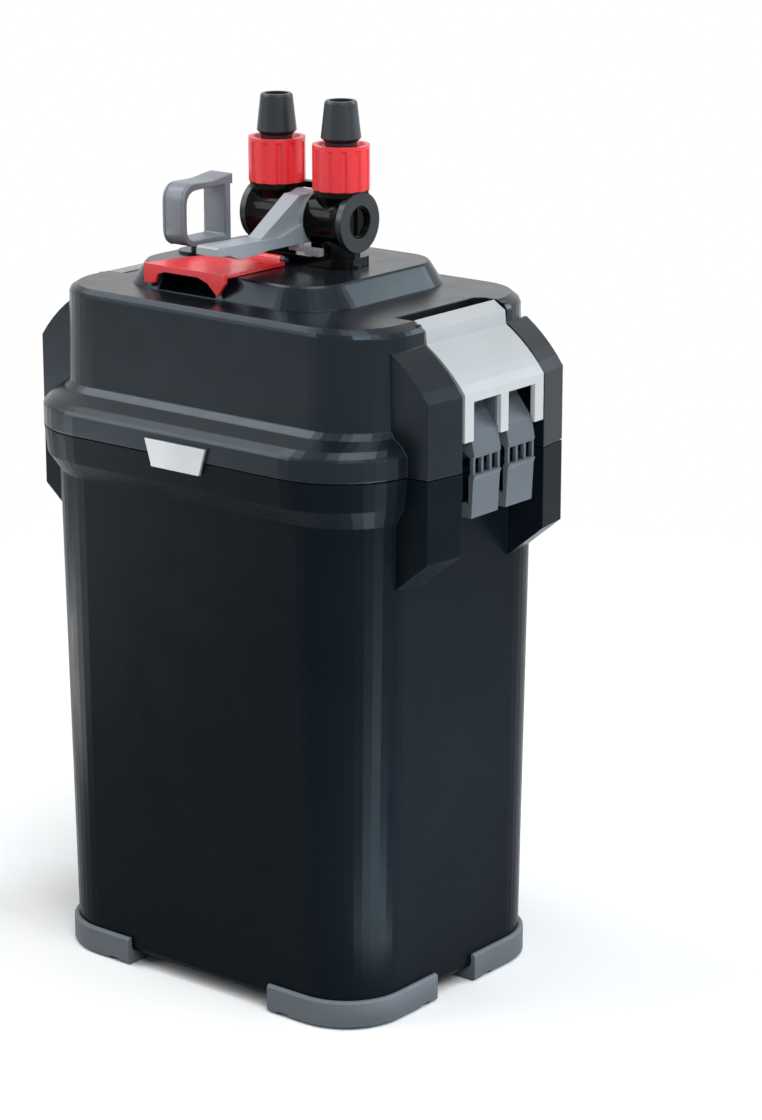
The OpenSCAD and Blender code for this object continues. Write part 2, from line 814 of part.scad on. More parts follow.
// --- Pump ---

module motor_housing() {
  can_z1 = plate_z + motor_h;
  color("#26292c")
  translate([pump_x, pump_y, 0])
  difference() {
    union() {
      z_rod(motor_r, plate_z + seat_gap, can_z1);
      z_rod(nose_r, nose_z, plate_z + over);
    }
    z_rod(well_r, nose_z - over, well_top_z);
    difference() {
      z_rod(motor_r - 2, plate_z + 3, can_z1 - 3);
      z_rod(well_r + 2, plate_z + 2, can_z1 - 2);
    }
  }
}

module stator_core() {
  z0 = core_z;
  color("#8b8f92")
  translate([pump_x, pump_y, 0])
  difference() {
    z_rod(well_r + 6.5, z0, z0 + core_h);
    z_rod(well_r + 2 + seat_gap, z0 - over, z0 + core_h + over);
  }
}

module stator_coils() {
  z0 = plate_z + 3 + seat_gap;
  coil_top_z = core_z + core_h + 0.18 * motor_h;
  color("#b4682d")
  translate([pump_x, pump_y, 0])
  for (z = [[z0, core_z - seat_gap], [core_z + core_h + seat_gap, coil_top_z]])
    difference() {
      z_rod(motor_r - 2 - slide_gap, z[0], z[1]);
      z_rod(well_r + 2 + slide_gap, z[0] - over, z[1] + over);
    }
}

module shaft_bushes() {
  color("#4a4f54")
  translate([pump_x, pump_y, 0])
  for (z = [well_top_z - bush_t - seat_gap, chamber_z + 1.5])
    difference() {
      z_rod(bush_r, z, z + bush_t);
      z_rod(shaft_r + run_gap, z - over, z + bush_t + over);
    }
}

module impeller_shaft() {
  color("#e9e6dd")
  z_rod(shaft_r, chamber_z + 1.7, well_top_z - seat_gap, pump_x, pump_y);
}

module magnet_rotor() {
  z0 = nose_z + 3;
  color("#3f4347")
  translate([pump_x, pump_y, 0])
  difference() {
    z_rod(magnet_r, z0, z0 + magnet_l);
    z_rod(shaft_r + run_gap, z0 - over, z0 + magnet_l + over);
  }
}

module impeller() {
  z0 = chamber_z + 7;
  z1 = nose_z + 3;
  blade_h = 0.35 * chamber_h;
  hub = 0.3 * impeller_r;
  color("#e3e5e6")
  translate([pump_x, pump_y, 0])
  difference() {
    union() {
      z_rod(hub, z0, z1);
      z_rod(impeller_r, z0 + blade_h, z0 + blade_h + 1.6);
      for (i = [0:blades - 1])
        rotate([0, 0, 360 * i / blades]) box(hub - over, impeller_r - 0.5, -0.8, 0.8, z0, z0 + blade_h + over);
    }
    z_rod(shaft_r + run_gap, z0 - over, z1 + over);
  }
}

module pump_chamber() {
  top_z = rim_top_z - seat_gap;
  color("#2e3337")
  difference() {
    union() {
      z_rod(chamber_r + chamber_wall, chamber_z, top_z, pump_x, pump_y);
      box(port_x - flow_r - chamber_wall, pump_x - chamber_r + 4, port_y - flow_r - chamber_wall,
          port_y + flow_r + chamber_wall - 4, chamber_z + 12, top_z);
      z_rod(flow_r + chamber_wall, chamber_z + 12, top_z, port_x, port_y);
    }
    z_rod(chamber_r, chamber_z + chamber_wall, top_z + over, pump_x, pump_y);
    difference() {
      z_rod(12, chamber_z - over, chamber_z + 5, pump_x, pump_y);
      z_rod(bush_r + 2, chamber_z - 2 * over, chamber_z + 6, pump_x, pump_y);
      for (a = [0, 120, 240])
        translate([pump_x, pump_y, chamber_z]) rotate([0, 0, a]) cube([40, 3, 2 * chamber_wall], center = true);
    }
    z_rod(bush_r + 0.1, chamber_z + 1.4, chamber_z + 8, pump_x, pump_y);
    z_rod(flow_r, chamber_z + 12 + chamber_wall, top_z + over, port_x, port_y);
    box(port_x, pump_x - chamber_r + 6, port_y - flow_r + over, port_y + flow_r - 5,
        chamber_z + 12 + chamber_wall, top_z - chamber_wall);
  }
}

// Channel under the base plate that leads the inflow to the foam screen
module intake_duct() {
  wall = 2;
  top_z = rim_top_z - seat_gap;
  z0 = top_z - duct_h;
  x0 = screen_x0 + screen_t / 2;
  color("#2e3337")
  difference() {
    box(x0, -port_x + flow_r + wall, port_y - flow_r - wall, port_y + flow_r + wall, z0, top_z);
    box(x0 + wall, -port_x + flow_r, port_y - flow_r, port_y + flow_r, z0 + wall, top_z - wall);
    z_rod(flow_r, top_z - 2 * wall, top_z + over, -port_x, port_y);
    box(x0 + wall, x0 + wall + 14, port_y - flow_r, port_y + flow_r, z0 - over, z0 + 2 * wall);
  }
}

// --- Primer ---

module primer_cylinder() {
  color("#2b3034")
  translate([-primer_x, -primer_y, 0])
  difference() {
    z_rod(primer_r + 2, plate_z + seat_gap, under_deck_z - seat_gap);
    z_rod(primer_r, plate_z + 3, under_deck_z + over);
    z_rod(primer_port_r, plate_z - over, plate_z + 4);
  }
}

module grip_outline(inset, floor) {
  y0 = -primer_y - grip_d / 2 + inset;
  y1 = y0 + grip_d - 2 * inset;
  z0 = grip_z + floor;
  z1 = grip_z + grip_h - inset;
  r = 10 - inset;
  translate([y0, z0 + r]) square([y1 - y0, z1 - z0 - 2 * r]);
  translate([y0 + r, z0]) square([y1 - y0 - r, z1 - z0]);
  for (z = [z0 + r, z1 - r]) translate([y0 + r, z]) circle(r);
}

module primer_handle() {
  x0 = -primer_x - grip_w / 2;
  y0 = -primer_y - grip_d / 2;
  y1 = y0 + grip_d;
  lip = 1;
  lip_h = 5.4;
  top_z = grip_z + grip_h;
  dip = 1.1;
  sag = 2.4;
  rear_dip = 1.6;
  flare = concat(
    [for (i = [0:6]) bezier([y0 + 0.3 * grip_d, top_z - dip], [y0 + 0.45 * grip_d, top_z - sag],
      [y0 + 0.62 * grip_d, top_z - sag], i / 6)],
    [for (i = [1:6]) bezier([y0 + 0.62 * grip_d, top_z - sag], [y0 + 0.84 * grip_d, top_z - dip / 2],
      [y1 + lip, top_z - rear_dip], i / 6)]
  );
  color("#8c9298")
  difference() {
    yz_extrude(x0, x0 + grip_w) {
      difference() {
        grip_outline(0, 0);
        grip_outline(grip_t, grip_floor);
        translate([y0 - over, top_z - dip]) square([grip_d + 2 * over, 2 * dip]);
      }
      polygon(concat([[y1 + lip, top_z - grip_t], [y0 + 0.3 * grip_d, top_z - grip_t]], flare));
      translate([y1 - over, top_z - rear_dip - lip_h]) square([lip + over, lip_h]);
    }
    z_rod(rod_r + run_gap, grip_z - over, grip_z + grip_floor / 2, -primer_x, -primer_y);
    // Two fine lines down the front of the band
    for (s = [-1, 1])
      box(s * grip_w / 5 - primer_x - 0.3, s * grip_w / 5 - primer_x + 0.3, y0 - over, y0 + 0.4,
          grip_z + 2 * grip_t, top_z - grip_t);
  }
}

module primer_rod() {
  color("#8c9298")
    z_rod(rod_r, rod_bottom_z + piston_h - 4, grip_z + (grip_floor - seat_gap) / 2, -primer_x, -primer_y);
}

module primer_piston() {
  z0 = rod_bottom_z;
  color("#1a1c1e")
  translate([-primer_x, -primer_y, 0])
  difference() {
    z_rod(primer_r - run_gap, z0, z0 + piston_h);
    translate([0, 0, z0 + piston_h / 2]) rotate_extrude() translate([primer_r, 0]) circle(1.2);
    z_rod(rod_r + run_gap, z0 + piston_h - 4 - seat_gap / 2, z0 + piston_h + over);
  }
}

// --- Clamps ---

module clamp_pin() {
  half = bay_w / 2 + pocket_wall - 0.5;
  color("#9aa0a5") y_rod(clamp_pin_r, clamp_y - half, clamp_y + half, pin_x, pin_z);
}

// Points of the panel's outer line from the deck to the lower edge, moved in by d
function panel_line(d) = concat(
  [[pin_x - 1.5 - 0.52 * d, deck_z - 0.85 * d], [pin_x + 5 - 0.8 * d, deck_z - panel_lip - 0.68 * d]],
  [for (i = [0:6]) bezier(
    [pin_x + 5.7 - d, cheek_top_z - 0.42 * d],
    [(pin_x + 5.7 + panel_x) / 2 + 2 - d, (cheek_top_z + panel_bend_z) / 2 + 2 - 0.42 * d],
    [panel_x - d, panel_bend_z - 0.42 * d],
    i / 6
  )],
  [[panel_x - d, panel_bottom_z]]
);

module clamp_panel() {
  outer = panel_line(0);
  inner = panel_line(panel_t);
  color("#d3d7da")
  difference() {
    union() {
      xz_prism(
        concat(outer, [for (i = [len(inner) - 1:-1:0]) inner[i]]),
        clamp_y - panel_half, clamp_y + panel_half
      );
      y_rod(knuckle_r, clamp_y - panel_half, clamp_y + panel_half, pin_x, pin_z);
    }
    y_rod(clamp_pin_r + run_gap, clamp_y - panel_half - over, clamp_y + panel_half + over, pin_x, pin_z);
    for (s = [-1, 1])
      box(panel_x - 8, panel_x + over, clamp_y + s * finger_pitch / 2 - window_half,
          clamp_y + s * finger_pitch / 2 + window_half, panel_bottom_z - over, window_top_z);
  }
}

module finger(y) {
  face = hook_face_x;
  inner = hook_inner_x;
  top_z = window_top_z - 0.5;
  ridge_z = panel_bottom_z + 2.5;
  slot_z0 = seam_z - 2.5;
  slot_z1 = seam_z + 5;
  keep = keeper_x - hook_grip;
  frame = 1.5;
  slot_w = (finger_w - 4 * frame) / 3;
  difference() {
    union() {
      xz_prism([
        [inner - 11, top_z],
        [inner - 8.5, top_z],
        [inner - 7.3, top_z - 4.5],
        [inner - 3, ridge_z + 5],
        [face - 1.7, ridge_z],
        [face + 0.3, slot_z1 + 1],
        [face - 0.3, slot_z1 + 0.3],
        [face - 0.3, slot_z0],
        [face + 0.6, slot_z0 - 0.5],
        [face - 0.2, slot_z0 - 2.5],
        [face - 1.2, hook_bottom_z],
        [inner, hook_bottom_z],
        [inner, slot_z0 - 1],
        [inner + 0.8, slot_z0],
        [inner + 0.8, slot_z1],
        [inner - 3.8, slot_z1 + 3],
        [inner - 3.8, ridge_z - 2],
        [inner - 7, ridge_z + 5]
      ], y - finger_w / 2, y + finger_w / 2);
      // Hook that reaches under the keeper
      xz_prism([
        [keep, hook_bottom_z + 1.6],
        [keep, keeper_z + 0.4 - hook_clear],
        [keeper_x, keeper_z + keeper_lean - hook_clear],
        [inner + 0.5, keeper_z + keeper_lean - hook_clear],
        [inner + 0.5, hook_bottom_z],
        [keep + 1.5, hook_bottom_z]
      ], y - finger_w / 2, y + finger_w / 2);
    }
    for (k = [-1:1])
      translate([face, y + (slot_w + frame) * k, (slot_z0 + slot_z1) / 2])
        cube([12, slot_w, slot_z1 - slot_z0], center = true);
  }
}

module clamp_hook() {
  bridge_half = (finger_pitch - finger_w) / 2 + slide_gap;
  bridge_z = panel_bottom_z + 1.5;
  color("#8a9097")
  union() {
    for (s = [-1, 1]) finger(clamp_y + s * finger_pitch / 2);
    xz_prism([
      [hook_inner_x - 3.6, bridge_z],
      [panel_x - panel_t - seat_gap, bridge_z],
      [panel_x - panel_t - seat_gap, window_top_z - over],
      [hook_inner_x - 10.5, window_top_z - over]
    ], clamp_y - bridge_half, clamp_y + bridge_half);
  }
}

module clamp_pin_right() { clamp_pin(); }
module clamp_pin_left() { mirror([1, 0, 0]) clamp_pin(); }
module clamp_panel_right() { clamp_panel(); }
module clamp_panel_left() { mirror([1, 0, 0]) clamp_panel(); }
module clamp_hook_right() { clamp_hook(); }
module clamp_hook_left() { mirror([1, 0, 0]) clamp_hook(); }

// --- Release tab ---

module tab_pin() {
  color("#9aa0a5") x_rod(tab_pin_r, tab_rear_left + 1, tab_right - 1, tab_hinge_y, tab_pin_z);
}

module release_tab() {
  knuckle_x0 = tab_rear_left + 1 + tab_lug_t + slide_gap;
  knuckle_x1 = tab_right - 1 - tab_lug_t - slide_gap;
  top_z = tab_under_z + tab_t;
  tip_x = tab_right - 5;
  color("#e03a38")
  difference() {
    union() {
      translate([0, 0, tab_under_z]) linear_extrude(tab_t) polygon([
        [tab_left, tab_front],
        [tab_right, tab_front],
        [tab_right, tab_hinge_y - 3],
        [knuckle_x1, tab_hinge_y - 3],
        [knuckle_x1, tab_hinge_y],
        [knuckle_x0, tab_hinge_y],
        [knuckle_x0, tab_hinge_y - 3],
        [tab_rear_left, tab_hinge_y - 3],
        [tab_waist_left, tab_front + 20]
      ]);
      x_rod(tab_knuckle_r, knuckle_x0, knuckle_x1, tab_hinge_y, tab_pin_z);
      // Skirt with an arch for the fingertips, a short leg and a pointed leg
      xz_prism([
        [tab_left, top_z],
        [tab_left, top_z - tab_drop - 0.5],
        [tab_left + 7, top_z - tab_drop + 0.5],
        [tab_left + 8.5, top_z - 4.5],
        [tab_left + 13, top_z - 3],
        [tip_x - 12, top_z - 3],
        [tip_x - 6, top_z - 5],
        [tip_x, top_z - tab_drop - 1.5],
        [tab_right, top_z - 4],
        [tab_right, top_z]
      ], tab_front, tab_front + tab_t);
    }
    x_rod(tab_pin_r + run_gap, knuckle_x0 - over, knuckle_x1 + over, tab_hinge_y, tab_pin_z);
  }
}

// --- Valve ---

// Barrel that flares from its waist to its open end
module valve_barrel(side) {
  flare = [for (i = [0:6]) bezier(
    [barrel_waist_r, barrel_waist_x],
    [barrel_waist_r, cavity_x1 - 3],
    [barrel_r, cavity_x1],
    i / 6
  )];
  translate([0, port_y, axis_z]) rotate([0, side * 90, 0])
    rotate_extrude() polygon(concat([[0, cavity_x1], [0, lever_gap], [barrel_waist_r, lever_gap]], flare));
}

module valve_body() {
  foot_z1 = valve_foot_z + valve_foot_t;
  color("#131517")
  difference() {
    union() {
      for (s = [-1, 1]) {
        valve_barrel(s);
        z_rod(neck_r, foot_z1 - over, axis_z, s * port_x, port_y);
        z_rod(spigot_r, valve_foot_z - spigot_l, valve_foot_z + over, s * port_x, port_y);
        z_rod(spout_r, axis_z, spout_z, s * port_x, port_y);
        translate([s * port_x, port_y, nut_z - 8.5]) cylinder(r1 = 10, r2 = nut_r - 0.5, h = 6);
        z_rod(nut_r - 0.5, nut_z - 2.6, nut_z - seat_gap, s * port_x, port_y);
      }
      translate([0, valve_foot_front + valve_foot_d / 2, 0])
        slab(barrel_half_w - 1, valve_foot_d / 2, 8, valve_foot_z, foot_z1);
      box(-lever_gap - 3, lever_gap + 3, port_y + hub_r + 0.7, port_y + hub_r + 4, foot_z1 - over, axis_z + 4);
      box(-port_x + 7, port_x - 7, port_y + 8, port_y + 12.5, nut_z - 3.4, nut_z - 0.4);
      box(-4.5, 4.5, port_y + 8.5, port_y + 12, nut_z - over, nut_z + 3);
    }
    for (s = [-1, 1]) {
      z_rod(flow_r, valve_foot_z - spigot_l - over, spout_z + over, s * port_x, port_y);
      x_rod(cavity_r, min(s * cavity_x0, s * barrel_half_w), max(s * cavity_x0, s * barrel_half_w), port_y, axis_z);
      translate([s * port_x, port_y, seal_z]) rotate_extrude() translate([seal_mid_r, 0]) circle(seal_r + 0.15);
      // Room for the end cap
      x_rod(barrel_r + seat_gap, s > 0 ? cavity_x1 : -barrel_half_w - 2 * over,
            s > 0 ? barrel_half_w + 2 * over : -cavity_x1, port_y, axis_z);
    }
    x_rod(stub_r + run_gap, -cavity_x0 - over, cavity_x0 + over, port_y, axis_z);
    x_rod(hub_r + 0.5, -lever_gap, lever_gap, port_y, axis_z);
  }
}

module valve_end_caps() {
  color("#17191b")
  for (s = [-1, 1])
    difference() {
      union() {
        x_rod(barrel_r, s > 0 ? cavity_x1 : -barrel_half_w, s > 0 ? barrel_half_w : -cavity_x1, port_y, axis_z);
      }
      x_rod(plug_end_r + 0.1, s > 0 ? cavity_x1 - over : -barrel_half_w - over,
            s > 0 ? barrel_half_w + over : -cavity_x1 + over, port_y, axis_z);
    }
}

module spigot_seals() {
  color("#0c0d0e")
  for (s = [-1, 1])
    translate([s * port_x, port_y, seal_z]) rotate_extrude() translate([seal_mid_r, 0]) circle(seal_r);
}

module valve_plug(side) {
  color("#1a1c1e")
  difference() {
    union() {
      x_rod(plug_r, side > 0 ? cavity_x0 + 0.3 : -cavity_x1 + 0.3, side > 0 ? cavity_x1 - 0.3 : -cavity_x0 - 0.3,
            port_y, axis_z);
      x_rod(plug_end_r, side > 0 ? cavity_x1 - over : -barrel_half_w + 1, side > 0 ? barrel_half_w - 1 : -cavity_x1 + over,
            port_y, axis_z);
    }
    z_rod(flow_r, axis_z - 20, axis_z + 20, side * port_x, port_y);
    x_rod(stub_r + run_gap, side > 0 ? cavity_x0 - over : -stub_x - seat_gap, side > 0 ? stub_x + seat_gap : -cavity_x0 + over,
          port_y, axis_z);
    difference() {
      x_rod(plug_end_r - 1, side > 0 ? barrel_half_w - 2.2 : -barrel_half_w, side > 0 ? barrel_half_w : 2.2 - barrel_half_w,
            port_y, axis_z);
      translate([side * barrel_half_w, port_y, axis_z]) cube([6, 1.4, 2 * plug_end_r - 3], center = true);
    }
  }
}

module valve_plug_inlet() { valve_plug(-1); }
module valve_plug_outlet() { valve_plug(1); }

module valve_lever() {
  front = port_y - lever_reach;
  pad_z = axis_z - 4.5;
  gusset_front = front + 33;
  rib_foot = 3.8;
  rib_top = 4.8;
  rib_top_z = axis_z + 11.6;
  bar_z = axis_z - 15.6;
  recess = 0.5;
  rim = 1.4;
  color("#8c9298")
  difference() {
  union() {
    x_rod(hub_r, -lever_gap + 0.5, lever_gap - 0.5, port_y, axis_z);
    x_rod(stub_r, -stub_x, stub_x, port_y, axis_z);
    // Thumb pad and bar
    yz_extrude(-lever_w / 2, lever_w / 2) polygon([
      [front, pad_z - pad_t],
      [front + 1, pad_z - pad_t - 0.3],
      [front + 8, pad_z - pad_t - 0.5],
      [front + 15, pad_z - pad_t - 3.4],
      [front + 24, pad_z - pad_t - 3.4],
      [front + 36, pad_z - pad_t - 2.2],
      [port_y - 6, axis_z - 11],
      [port_y - 6, axis_z],
      [gusset_front + 12, pad_z - 1.5],
      [front + 1, pad_z],
      [front, pad_z - 0.8]
    ]);
    // Gusset that widens towards the hub
    intersection() {
      yz_extrude(-rib_top, rib_top) polygon([
        [gusset_front, pad_z - 2],
        [gusset_front, pad_z - 0.8],
        [port_y - 12.5, rib_top_z],
        [port_y - 4, rib_top_z],
        [port_y, axis_z - 4],
        [port_y - 8, axis_z - 9]
      ]);
      xz_prism([[-rib_foot, pad_z - 4], [rib_foot, pad_z - 4], [rib_top, rib_top_z], [-rib_top, rib_top_z]],
               gusset_front - over, port_y + over);
    }
    x_rod(1.8, 0, lever_gap - 0.6, port_y - 15, axis_z - 5.4);
    // Locking bar under the right barrel
    box(port_x / 2, port_x - 1, port_y - 15, port_y - 11.7, bar_z, bar_z + 3.5);
    box(0, port_x / 2 + over, port_y - 15, port_y - 11.7, bar_z + 1.4, bar_z + 3.5);
    box(0, lever_w / 2, port_y - 15, port_y - 11.7, bar_z + 3, axis_z - 10);
  }
    box(rim - lever_w / 2, lever_w / 2 - rim, front + 1 + rim, gusset_front - 4, pad_z - recess - 0.4, pad_z + over);
  }
}

module lock_nut(side) {
  groove_r = 1.8;
  groove_depth = 0.9;
  color("#d3333a")
  translate([side * port_x, port_y, 0])
  difference() {
    z_rod(nut_r, nut_z, nut_top_z);
    for (i = [0:nut_ribs - 1])
      rotate([0, 0, 360 * (i + 0.5) / nut_ribs])
        z_rod(groove_r, nut_z - over, nut_top_z - 1.8, nut_r + groove_r - groove_depth, 0);
    z_rod(spout_r + 0.1, nut_z - over, spout_z + barb_flange_t + 2 * seat_gap);
    z_rod(barb_neck_r + 0.4, nut_z, nut_top_z + over);
    translate([0, 0, nut_top_z - 5]) cylinder(r1 = barb_neck_r + 0.4, r2 = nut_r - 2.2, h = 5.01);
  }
}

module lock_nut_inlet() { lock_nut(-1); }
module lock_nut_outlet() { lock_nut(1); }

module hose_barb(side) {
  z0 = spout_z + seat_gap / 2;
  wide_z = nut_top_z + 3;
  color("#3b4045")
  translate([side * port_x, port_y, 0])
  difference() {
    union() {
      z_rod(spout_r - 0.4, z0, z0 + barb_flange_t);
      z_rod(barb_neck_r, z0, wide_z);
      translate([0, 0, nut_top_z + 1]) cylinder(r1 = barb_neck_r, r2 = barb_max_r, h = 2.01);
      translate([0, 0, wide_z]) cylinder(r1 = barb_max_r, r2 = barb_tip_r + 0.3, h = barb_top_z - wide_z - 1);
      translate([0, 0, barb_top_z - 1.01]) cylinder(r1 = barb_tip_r + 0.3, r2 = barb_tip_r - 0.3, h = 1.01);
    }
    z_rod(barb_bore_r, z0 - over, barb_top_z + over);
  }
}

module hose_barb_inlet() { hose_barb(-1); }
module hose_barb_outlet() { hose_barb(1); }

vessel();
foot_front_left();
foot_front_right();
foot_rear_left();
foot_rear_right();
basket_lower();
basket_middle();
basket_upper();
basket_cover();
bio_foam_lower();
bio_foam_middle();
fine_pad_upper();
screen_frame();
screen_foam_outer();
screen_foam_inner();
lid_cover();
lid_base();
lid_seal();
base_screws();
badge_plate();
cable_gland();
intake_duct();
motor_housing();
stator_core();
stator_coils();
impeller_shaft();
shaft_bushes();
pump_chamber();
primer_cylinder();
tab_pin();
clamp_pin_right();
clamp_pin_left();
magnet_rotor();
impeller();
clamp_panel_right();
clamp_hook_right();
clamp_panel_left();
clamp_hook_left();
release_tab();
primer_handle();
primer_rod();
primer_piston();
valve_body();
valve_end_caps();
spigot_seals();
hose_barb_inlet();
hose_barb_outlet();
valve_lever();
valve_plug_inlet();
valve_plug_outlet();
lock_nut_inlet();
lock_nut_outlet();
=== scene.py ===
import json
import math

import bmesh
import bpy
from mathutils import Matrix, Vector


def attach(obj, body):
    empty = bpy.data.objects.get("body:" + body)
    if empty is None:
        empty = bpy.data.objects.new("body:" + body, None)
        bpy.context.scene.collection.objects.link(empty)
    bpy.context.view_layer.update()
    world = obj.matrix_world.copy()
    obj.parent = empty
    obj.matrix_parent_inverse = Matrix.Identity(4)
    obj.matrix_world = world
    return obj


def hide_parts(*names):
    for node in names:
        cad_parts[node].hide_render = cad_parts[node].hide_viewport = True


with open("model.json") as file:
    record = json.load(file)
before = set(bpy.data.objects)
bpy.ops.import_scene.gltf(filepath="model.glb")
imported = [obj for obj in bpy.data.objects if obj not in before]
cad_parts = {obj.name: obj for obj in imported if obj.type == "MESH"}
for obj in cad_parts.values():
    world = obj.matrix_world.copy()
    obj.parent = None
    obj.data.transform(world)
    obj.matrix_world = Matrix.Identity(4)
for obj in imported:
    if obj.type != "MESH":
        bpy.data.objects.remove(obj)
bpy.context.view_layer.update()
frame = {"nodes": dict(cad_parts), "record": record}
nodes = frame["nodes"]

MM = 0.001


def add_object(name, data):
    obj = bpy.data.objects.new(name, data)
    bpy.context.scene.collection.objects.link(obj)
    return obj


# --- Camera: the view of the photograph, whose frame is 762 x 1120 ---

AZIMUTH = math.radians(38.8)
ELEVATION = math.radians(16.1)
DISTANCE = 1601.9 * MM
FOCAL_PIXELS = 3319.3
FRAME_HEIGHT = 1120
SENSOR = 36.0
TARGET_RIGHT = 41.4 * MM
TARGET_UP = 197.5 * MM
NEAREST = 0.05
FARTHEST = 50

right = Vector((math.cos(AZIMUTH), math.sin(AZIMUTH), 0))
back = Vector((
    math.sin(AZIMUTH) * math.cos(ELEVATION),
    -math.cos(AZIMUTH) * math.cos(ELEVATION),
    math.sin(ELEVATION),
))
up = back.cross(right)
target = Vector((0, 0, TARGET_UP)) + right * TARGET_RIGHT

camera_data = bpy.data.cameras.new("camera")
camera_data.sensor_fit = "VERTICAL"
camera_data.sensor_height = SENSOR
camera_data.lens = FOCAL_PIXELS * SENSOR / FRAME_HEIGHT
camera_data.clip_start = NEAREST
camera_data.clip_end = FARTHEST
camera = add_object("camera", camera_data)
turn = Matrix((right, up, back)).transposed().to_4x4()
camera.matrix_world = Matrix.Translation(target + back * DISTANCE) @ turn
bpy.context.scene.camera = camera
bpy.context.scene.view_settings.view_transform = "Standard"

# --- Materials ---

NOISE_ROUGHNESS = 0.55
BEVEL_SAMPLES = 4


class Shader:
    """A small builder for one node material, in object coordinates."""

    def __init__(self, name):
        self.mat = bpy.data.materials.new(name)
        self.mat.use_nodes = True
        self.tree = self.mat.node_tree
        self.tree.nodes.clear()
        self.out = self.node("ShaderNodeOutputMaterial")
        self.bsdf = self.node("ShaderNodeBsdfPrincipled")
        self.link(self.bsdf.outputs["BSDF"], self.out.inputs["Surface"])
        self.coords = self.node("ShaderNodeTexCoord").outputs["Object"]

    def node(self, kind, **settings):
        n = self.tree.nodes.new(kind)
        for key, value in settings.items():
            setattr(n, key, value)
        return n

    def link(self, a, b):
        self.tree.links.new(a, b)

    def noise(self, scale, detail):
        n = self.node("ShaderNodeTexNoise")
        n.inputs["Scale"].default_value = scale
        n.inputs["Detail"].default_value = detail
        n.inputs["Roughness"].default_value = NOISE_ROUGHNESS
        self.link(self.coords, n.inputs["Vector"])
        return n.outputs["Fac"]

    def spread(self, value, low, high, start=0.3, end=0.7):
        """Value, which runs from start to end, stretched to run from low to high."""
        n = self.node("ShaderNodeMapRange")
        n.inputs["From Min"].default_value = start
        n.inputs["From Max"].default_value = end
        n.inputs["To Min"].default_value = low
        n.inputs["To Max"].default_value = high
        self.link(value, n.inputs["Value"])
        return n.outputs["Result"]

    def blend(self, factor, a, b):
        n = self.node("ShaderNodeMix", data_type="RGBA")
        for socket, value in ((n.inputs["A"], a), (n.inputs["B"], b)):
            if hasattr(value, "is_output"):
                self.link(value, socket)
            else:
                socket.default_value = (*value, 1)
        self.link(factor, n.inputs["Factor"])
        return n.outputs["Result"]

    def bump(self, height, strength, distance, normal):
        n = self.node("ShaderNodeBump")
        n.inputs["Strength"].default_value = strength
        n.inputs["Distance"].default_value = distance
        self.link(height, n.inputs["Height"])
        self.link(normal, n.inputs["Normal"])
        self.link(n.outputs["Normal"], self.bsdf.inputs["Normal"])

    def rounded(self, radius):
        """The normals of an edge that is broken by a small radius."""
        n = self.node("ShaderNodeBevel", samples=BEVEL_SAMPLES)
        n.inputs["Radius"].default_value = radius
        return n.outputs["Normal"]


def hex_colour(text):
    """A colour written as six hex digits, in the linear values that a shader takes."""
    values = [int(text[i:i + 2], 16) / 255 for i in (0, 2, 4)]
    return tuple(v / 12.92 if v <= 0.04045 else ((v + 0.055) / 1.055) ** 2.4 for v in values)


MOTTLE_SCALE = 22
MOTTLE_DETAIL = 5
MOTTLE_LIFT = 0.001
GLOSS_SCALE = 60
GLOSS_DETAIL = 6
GLOSS_LOW = 0.86
GLOSS_HIGH = 1.16
GRAIN_DETAIL = 3
GRAIN_DEPTH = 0.0004


def moulded(name, colour, rough, grain=0.0, grain_scale=1400, worn=0.12, specular=0.5, metallic=0.0, edge=0.4,
            tint=(1, 1, 1)):
    """A mottled colour, an uneven gloss, a fine grain and edges softened by edge mm, as on a moulded piece."""
    s = Shader(name)
    base = hex_colour(colour)
    light = tuple(min(1, c * (1 + worn) + MOTTLE_LIFT) for c in base)
    dark = tuple(c * (1 - worn) for c in base)
    mottle = s.spread(s.noise(MOTTLE_SCALE, MOTTLE_DETAIL), 0, 1)
    gloss = s.spread(s.noise(GLOSS_SCALE, GLOSS_DETAIL), rough * GLOSS_LOW, rough * GLOSS_HIGH)
    s.link(s.blend(mottle, dark, light), s.bsdf.inputs["Base Color"])
    s.link(gloss, s.bsdf.inputs["Roughness"])
    s.bsdf.inputs["Specular IOR Level"].default_value = specular
    s.bsdf.inputs["Specular Tint"].default_value = (*tint, 1)
    s.bsdf.inputs["Metallic"].default_value = metallic
    s.bump(s.noise(grain_scale, GRAIN_DETAIL), grain, GRAIN_DEPTH, s.rounded(edge * MM))
    return s.mat


COOL = (0.66, 0.86, 1.0)

